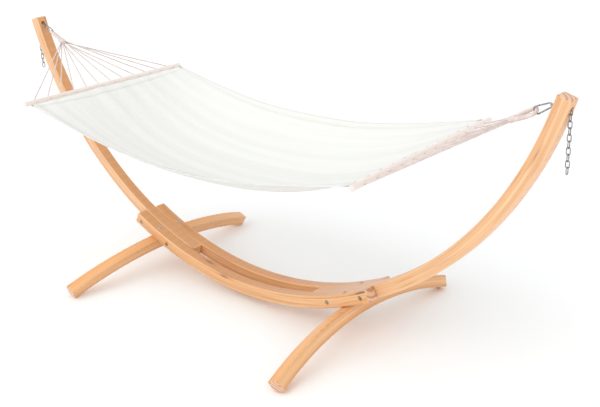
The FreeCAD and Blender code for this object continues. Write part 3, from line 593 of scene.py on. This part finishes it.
def rope_rows():
    """Rows of the cut's grid that a rope is sewn into, and the two corners."""
    cell = 2 * BED_HALF_WIDTH / BED_CELLS_WIDE
    first = BED_HALF_WIDTH - (ROPE_COUNT - 1) / 2 * ROPE_PITCH
    rows = [round((first + number * ROPE_PITCH) / cell) for number in range(ROPE_COUNT)]
    return [0] + rows + [BED_CELLS_WIDE]


def cut_cloth():
    """The bed as a grid hung between the bars, with its flat cut as a map in metres."""
    form = bmesh.new()
    bmesh.ops.create_grid(form, x_segments=BED_CELLS_LONG, y_segments=BED_CELLS_WIDE, size=1)
    length, width = BED_CUT_LENGTH, 2 * BED_HALF_WIDTH
    cut = form.loops.layers.uv.new("cut")
    for face in form.faces:
        for loop in face.loops:
            loop[cut].uv = ((loop.vert.co.x + 1) * length / 2, (loop.vert.co.y + 1) * width / 2)
    sewn, rope_rows_of_grid = [], rope_rows()
    for vertex in form.verts:
        u, v = vertex.co.x, vertex.co.y
        row = round((v + 1) / 2 * BED_CELLS_WIDE)
        if abs(abs(u) - 1) < 1e-4 and row in rope_rows_of_grid:
            sewn.append(vertex.index)
        vertex.co = bed_place(u, v)
    mesh = bpy.data.meshes.new("bed")
    form.to_mesh(mesh)
    form.free()
    cloth = bpy.data.objects.new("bed", mesh)
    bpy.context.scene.collection.objects.link(cloth)
    cloth.vertex_groups.new(name="sewn").add(sewn, 1.0, "REPLACE")
    return cloth


def hang(cloth, frames=36, farthest=0.030):
    """Let the cloth hang from the points where it is sewn, and keep the shape it takes."""
    start = [vertex.co.copy() for vertex in cloth.data.vertices]
    modifier = cloth.modifiers.new("hang", "CLOTH")
    settings = modifier.settings
    settings.quality = 7
    settings.mass = 0.02
    settings.air_damping = 3
    settings.tension_stiffness = settings.compression_stiffness = 60
    settings.shear_stiffness = 25
    settings.bending_stiffness = 1.2
    settings.shrink_min = -0.004
    settings.vertex_group_mass = "sewn"
    modifier.collision_settings.use_collision = False
    modifier.point_cache.frame_start, modifier.point_cache.frame_end = 1, frames
    scene = bpy.context.scene
    for number in range(1, frames + 1):
        scene.frame_set(number)
    settled = cloth.evaluated_get(bpy.context.evaluated_depsgraph_get())
    places = [vertex.co.copy() for vertex in settled.data.vertices]
    cloth.modifiers.remove(modifier)
    scene.frame_set(1)
    for vertex, before, after in zip(cloth.data.vertices, start, places):
        move = after - before
        if move.length > farthest:
            move *= farthest / move.length
        vertex.co = before + move


def add_thickness(cloth, thickness, offset=0.0):
    rounding = cloth.modifiers.new("rounding", "SUBSURF")
    rounding.levels = rounding.render_levels = 1
    solid = cloth.modifiers.new("thickness", "SOLIDIFY")
    solid.thickness, solid.offset = thickness, offset
    for polygon in cloth.data.polygons:
        polygon.use_smooth = True


def hem_strip(cloth, name, keep, canvas):
    """A folded hem: the cloth's own strip, laid over it a little thicker."""
    form = bmesh.new()
    form.from_mesh(cloth.data)
    cut = form.loops.layers.uv["cut"]
    outside = [face for face in form.faces
               if not keep(sum((loop[cut].uv for loop in face.loops), Vector((0, 0))) / 4)]
    bmesh.ops.delete(form, geom=outside, context="FACES")
    mesh = bpy.data.meshes.new(name)
    form.to_mesh(mesh)
    form.free()
    mesh.materials.clear()
    mesh.materials.append(canvas)
    strip = bpy.data.objects.new(name, mesh)
    bpy.context.scene.collection.objects.link(strip)
    add_thickness(strip, HEM_THICKNESS_SHARE * CLOTH_THICKNESS)
    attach(strip, "hammock")
    return strip


def make_bed(canvas, hem_canvas, thread):
    cloth = cut_cloth()
    hang(cloth)
    cloth.data.materials.append(canvas)
    long_edge, end_edge = 2 * BED_HALF_WIDTH, BED_CUT_LENGTH
    sides = hem_strip(cloth, "side_hems",
                      lambda at: min(at.y, long_edge - at.y) < HEM_WIDTH, hem_canvas)
    ends = hem_strip(cloth, "end_hems",
                     lambda at: min(at.x, end_edge - at.x) < SLEEVE_WIDTH, hem_canvas)
    stitches = make_stitches(cloth, thread)
    add_thickness(cloth, CLOTH_THICKNESS)
    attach(cloth, "hammock")
    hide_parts("bed_sheet")


def cloth_grid(cloth):
    """The cloth's points and normals by their column and row in the cut."""
    grid, cut = {}, cloth.data.uv_layers["cut"].data
    for polygon in cloth.data.polygons:
        for loop in polygon.loop_indices:
            at = cut[loop].uv
            key = (round(at.x / BED_CUT_LENGTH * BED_CELLS_LONG),
                   round(at.y / (2 * BED_HALF_WIDTH) * BED_CELLS_WIDE))
            vertex = cloth.data.vertices[cloth.data.loops[loop].vertex_index]
            grid[key] = (vertex.co, vertex.normal)
    return grid


def on_cloth(grid, column, row):
    """Place and normal between the cloth's grid points."""
    i, j = min(int(column), BED_CELLS_LONG - 1), min(int(row), BED_CELLS_WIDE - 1)
    a, b = column - i, row - j
    corners = (((i, j), (1 - a) * (1 - b)), ((i + 1, j), a * (1 - b)),
               ((i, j + 1), (1 - a) * b), ((i + 1, j + 1), a * b))
    place = sum((grid[key][0] * share for key, share in corners), Vector())
    normal = sum((grid[key][1] * share for key, share in corners), Vector())
    return place, normal.normalized()


def make_stitches(cloth, thread):
    """Rows of small raised stitches along all four hems, on the upper side."""
    grid, form = cloth_grid(cloth), bmesh.new()
    columns, rows = BED_CELLS_LONG / BED_CUT_LENGTH, BED_CELLS_WIDE / (2 * BED_HALF_WIDTH)
    lines = []
    for away in (HEM_WIDTH - STITCH_IN_FROM_HEM, 2 * BED_HALF_WIDTH - HEM_WIDTH + STITCH_IN_FROM_HEM):
        lines.append((lambda s, away=away: (s * columns, away * rows), BED_CUT_LENGTH))
    for away in (SLEEVE_WIDTH - STITCH_IN_FROM_HEM, BED_CUT_LENGTH - SLEEVE_WIDTH + STITCH_IN_FROM_HEM):
        lines.append((lambda s, away=away: (away * columns, s * rows), 2 * BED_HALF_WIDTH))
    for place_of, length in lines:
        for number in range(1, int(length / STITCH_PITCH)):
            start, up = on_cloth(grid, *place_of(number * STITCH_PITCH))
            finish, _ = on_cloth(grid, *place_of(number * STITCH_PITCH + STITCH_LENGTH))
            up = up if up.z > 0 else -up
            ahead = (finish - start).normalized()
            side = up.cross(ahead).normalized()
            turn = Matrix((ahead, side, ahead.cross(side))).transposed().to_4x4()
            middle = (start + finish) / 2 + up * (1.3 * CLOTH_THICKNESS)
            size = Matrix.Diagonal(((finish - start).length / 2, STITCH_RADIUS, STITCH_RADIUS, 1))
            bmesh.ops.create_icosphere(form, subdivisions=1, radius=1,
                                       matrix=Matrix.Translation(middle) @ turn @ size)
    return piece("stitches", form, [thread], "hammock")


# ------------------------------------------------------------ the whole hammock on its stand
make_camera()
make_studio()
paint_timber()
paint([f"spreader_bar_{end}" for end in ENDS], bar_finish("sanded bar"))
steel = zinc_finish("zinc plating", (0.60, 0.60, 0.60, 1), (0.34, 0.33, 0.32, 1))
chain_steel = zinc_finish("zinc chain", (0.46, 0.46, 0.46, 1), (0.22, 0.22, 0.22, 1))
for end in ENDS:
    bolts = ("cross_bolts", "cross_washers", "cross_nuts", "foot_bolts", "foot_washers", "foot_nuts")
    paint([f"{bolt}_{end}" for bolt in bolts], steel)
    paint([f"{part}_{end}" for part in ("held_chain", "snap_hook", "snap_gate", "gate_pin")], chain_steel)
    paint([f"tail_link_{number}_{end}" for number in range(1, 10)], chain_steel)

cotton = cotton_finish("cotton rope", (0.80, 0.70, 0.66, 1), (0.70, 0.58, 0.54, 1))
canvas = canvas_finish("cotton canvas", (0.87, 0.88, 0.845, 1), (0.82, 0.83, 0.795, 1))
hem_canvas = canvas_finish("cotton hem", (0.88, 0.885, 0.85, 1), (0.84, 0.845, 0.81, 1))
make_bed(canvas, hem_canvas, cotton)
for end in ENDS:
    make_ropes(end, cotton)
    make_eye(end, cotton)
    make_binding(end, cotton)
